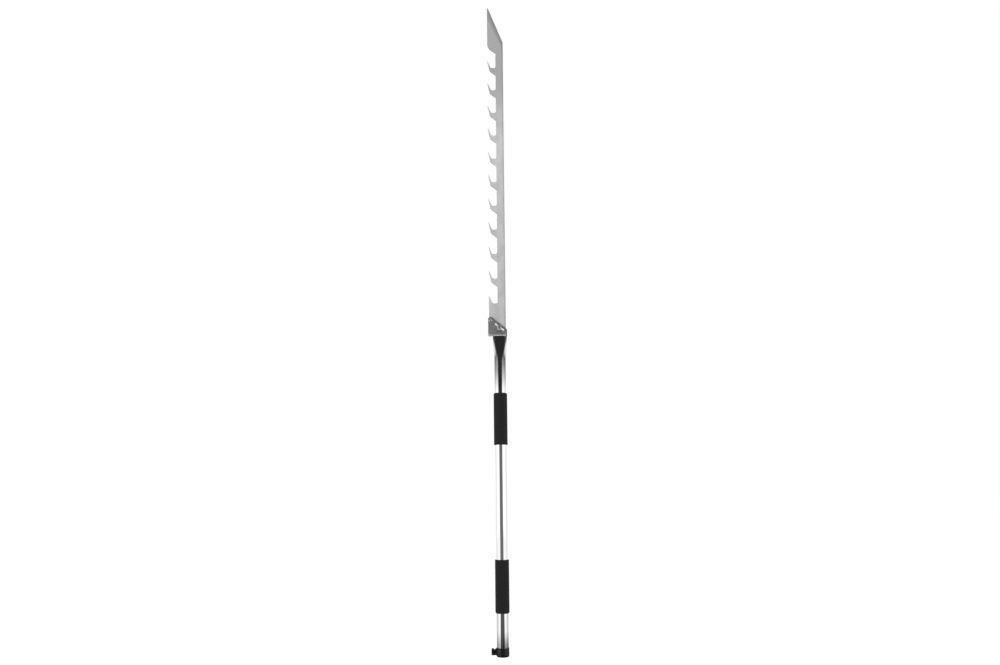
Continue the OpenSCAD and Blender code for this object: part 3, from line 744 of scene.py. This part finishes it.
class SAW_OT_stage(Operator):
    """White floor and surroundings, two upper lamps and the camera"""
    bl_idname = "saw.stage"
    bl_label = "Stage"

    def execute(self, context):
        studio = context.scene.saw_studio
        self.floor(studio)
        self.lamps(studio)
        self.surroundings(studio)
        self.camera(studio)
        context.scene.view_settings.view_transform = "Standard"
        return {"FINISHED"}

    @staticmethod
    def floor(studio):
        """White for the camera. Shiny metal mirrors a dark wedge before the saw, white beside it and grey
        behind its sides, and a painted shadow darkens all of it close to the saw."""
        bpy.ops.object.select_all(action="DESELECT")
        bpy.ops.mesh.primitive_plane_add(size=FLOOR_SIZE, location=(0, 0, studio.floor))
        floor = bpy.context.object
        floor.name = "floor"
        material = bpy.data.materials.new("white_floor")
        material.use_nodes = True
        node, number, step = builders(material.node_tree)
        place = node("ShaderNodeSeparateXYZ",
                     {"Vector": node("ShaderNodeTexCoord").outputs["Object"]}).outputs
        path = node("ShaderNodeLightPath").outputs
        # Bearing from the saw, 0 towards the camera, and distance
        bearing = number("ABSOLUTE", number("ARCTAN2", place["X"], number("MULTIPLY", place["Y"], -1.0)))
        out = number("SQRT", number("ADD", number("MULTIPLY", place["X"], place["X"]),
                                    number("MULTIPLY", place["Y"], place["Y"])))
        # Dark wedge, wider and darker near the saw, and grey behind its sides
        wedge = number("SUBTRACT", bearing, step(out, 1.0, 2.5, 0.14, 0.0))
        depth = step(out, 1.5, 3.5, 0.1, 0.17)
        sides = number("MULTIPLY", step(bearing, 1.42, 1.62, 0.0, 1.0), step(out, 1.5, 4.0, -0.4, -0.16))
        bands = number("ADD", step(wedge, 0.5, 0.58, depth, 1.1), sides)
        # Painted shadow: darker close to the saw, most of all on its right
        near = step(place["X"], -0.1, 0.1, 0.45, 0.22)
        painted_shadow = number("MULTIPLY_ADD", step(out, 0.8, 1.2, 0.0, 1.0), number("SUBTRACT", 1.0, near), near)
        mirrored = number("MULTIPLY", number("MULTIPLY", path["Is Glossy Ray"], bands), painted_shadow)
        glow = node("ShaderNodeEmission", {"Strength": number(
            "ADD", number("MULTIPLY", path["Is Camera Ray"], 0.84), mirrored)})
        tone = number("ADD", number("MULTIPLY", path["Is Camera Ray"], 0.25),
                      number("MULTIPLY", path["Is Diffuse Ray"], 0.8))
        paper = node("ShaderNodeBsdfDiffuse", {"Color": tone})
        both = node("ShaderNodeAddShader", {0: paper.outputs[0], 1: glow.outputs[0]})
        node("ShaderNodeOutputMaterial", {"Surface": both.outputs[0]})
        floor.data.materials.append(material)

    @staticmethod
    def lamps(studio):
        for side in (-1, 1):
            bpy.ops.object.light_add(type="AREA", location=(side * 0.9, -1.8, 3.2))
            lamp = bpy.context.object
            lamp.name = "upper_lamp"
            lamp.data.shape = "RECTANGLE"
            lamp.data.size = lamp.data.size_y = 1.4
            lamp.data.energy = studio.lamps
            aim = Vector((0, 0, 0.9)) - lamp.location
            lamp.rotation_euler = aim.to_track_quat("-Z", "Y").to_euler()

    @staticmethod
    def surroundings(studio):
        """White for the camera. Shiny metal mirrors a white band round the horizon, greyer behind the
        sides, with a dark gap behind the camera and a narrow one opposite, and a dark ceiling."""
        world = bpy.data.worlds.new("surroundings")
        bpy.context.scene.world = world
        world.use_nodes = True
        node, number, step = builders(world.node_tree)
        way = node("ShaderNodeSeparateXYZ",
                   {"Vector": node("ShaderNodeTexCoord").outputs["Generated"]}).outputs
        bearing = number("ARCTAN2", way["X"], number("MULTIPLY", way["Y"], -1.0))
        height = number("MULTIPLY_ADD", way["Z"], 0.5, 0.5)

        def by_elevation(stops):
            """Value read off a scale of elevations in degrees."""
            ramp = node("ShaderNodeValToRGB", {"Fac": height})
            marks = ramp.color_ramp.elements
            marks.remove(marks[1])
            for index, (degrees, value) in enumerate(stops):
                mark = marks[0] if index == 0 else marks.new(1.0)
                mark.position = 0.5 + math.sin(math.radians(degrees)) / 2
                mark.color = (value, value, value, 1)
            return ramp.outputs["Color"]

        # Gap behind the camera, wider higher up
        half_gap = number("MULTIPLY", by_elevation(((3, 0.31), (7, 0.38), (9, 0.42), (14, 0.46))),
                          math.radians(100))
        from_middle = number("ABSOLUTE", number("ADD", bearing, math.radians(2)))
        gap = step(number("SUBTRACT", from_middle, half_gap), -0.05, 0.05, 1.0, 0.0)
        inside = by_elevation(((-8.5, 0.07), (-3, 0.17), (3, 0.17), (8, 0.024)))
        outside = by_elevation(((7.5, 1.0), (8.6, 0.48), (9.2, 0.29), (9.8, 0.13), (11, 0.08), (12.5, 0.048),
                                (14.5, 0.024), (17, 0.02)))
        # Greyer from the sides on backwards, lighter again further round, and a dark strip straight behind
        from_sides = step(from_middle, 1.6, 1.8, 1.25, 0.92)
        further_round = step(from_middle, 2.6, 2.75, 0.0, 0.33)
        straight_behind = step(from_middle, 2.84, 2.94, 0.0, -1.05)
        backdrop = number("ADD", number("ADD", from_sides, further_round), straight_behind)
        around = number("MULTIPLY", number("MULTIPLY", outside, backdrop), number("SUBTRACT", 1.0, gap))
        mirrored = number("ADD", around, number("MULTIPLY", inside, gap))
        path = node("ShaderNodeLightPath").outputs
        shiny = number("MAXIMUM", path["Is Glossy Ray"], path["Is Transmission Ray"])
        matt = number("SUBTRACT", 1.0, number("MAXIMUM", shiny, path["Is Camera Ray"]))
        strength = number("ADD", number("ADD", path["Is Camera Ray"], number("MULTIPLY", shiny, mirrored)),
                          number("MULTIPLY", matt, studio.ambient))
        light = node("ShaderNodeBackground", {"Color": (1, 1, 1, 1), "Strength": strength})
        node("ShaderNodeOutputWorld", {"Surface": light.outputs[0]})

    @staticmethod
    def camera(studio):
        data = bpy.data.cameras.new("camera")
        camera = bpy.data.objects.new("camera", data)
        bpy.context.scene.collection.objects.link(camera)
        data.sensor_width = 36
        data.lens = studio.lens
        turn = (Matrix.Rotation(math.radians(90) + studio.pitch, 4, "X")
                @ Matrix.Rotation(-studio.roll, 4, "Z"))
        camera.matrix_world = Matrix.Translation((studio.side, -studio.distance, studio.height)) @ turn
        bpy.context.scene.camera = camera


class SAW_PT_panel(Panel):
    bl_label = "Ice Saw"
    bl_idname = "SAW_PT_panel"
    bl_space_type = "VIEW_3D"
    bl_region_type = "UI"
    bl_category = "Ice Saw"

    def draw(self, context):
        for operator in OPERATORS:
            self.layout.operator(operator.bl_idname)
        for group in (context.scene.saw_sizes, context.scene.saw_finishes, context.scene.saw_studio):
            box = self.layout.box()
            for name in group.bl_rna.properties.keys():
                if name not in ("rna_type", "name"):
                    box.prop(group, name)


OPERATORS = (SAW_OT_stage, SAW_OT_tube, SAW_OT_grips, SAW_OT_cap, SAW_OT_blade, SAW_OT_bracket,
             SAW_OT_fasteners)
CLASSES = (SawSizes, SawFinishes, StudioSettings, *OPERATORS, SAW_PT_panel)


def register():
    for cls in CLASSES:
        bpy.utils.register_class(cls)
    bpy.types.Scene.saw_sizes = PointerProperty(type=SawSizes)
    bpy.types.Scene.saw_finishes = PointerProperty(type=SawFinishes)
    bpy.types.Scene.saw_studio = PointerProperty(type=StudioSettings)


def unregister():
    del bpy.types.Scene.saw_studio
    del bpy.types.Scene.saw_finishes
    del bpy.types.Scene.saw_sizes
    for cls in reversed(CLASSES):
        bpy.utils.unregister_class(cls)


def main():
    register()
    for name in ("stage", "tube", "grips", "cap", "blade", "bracket", "fasteners"):
        getattr(bpy.ops.saw, name)()


if __name__ == "__main__":
    main()
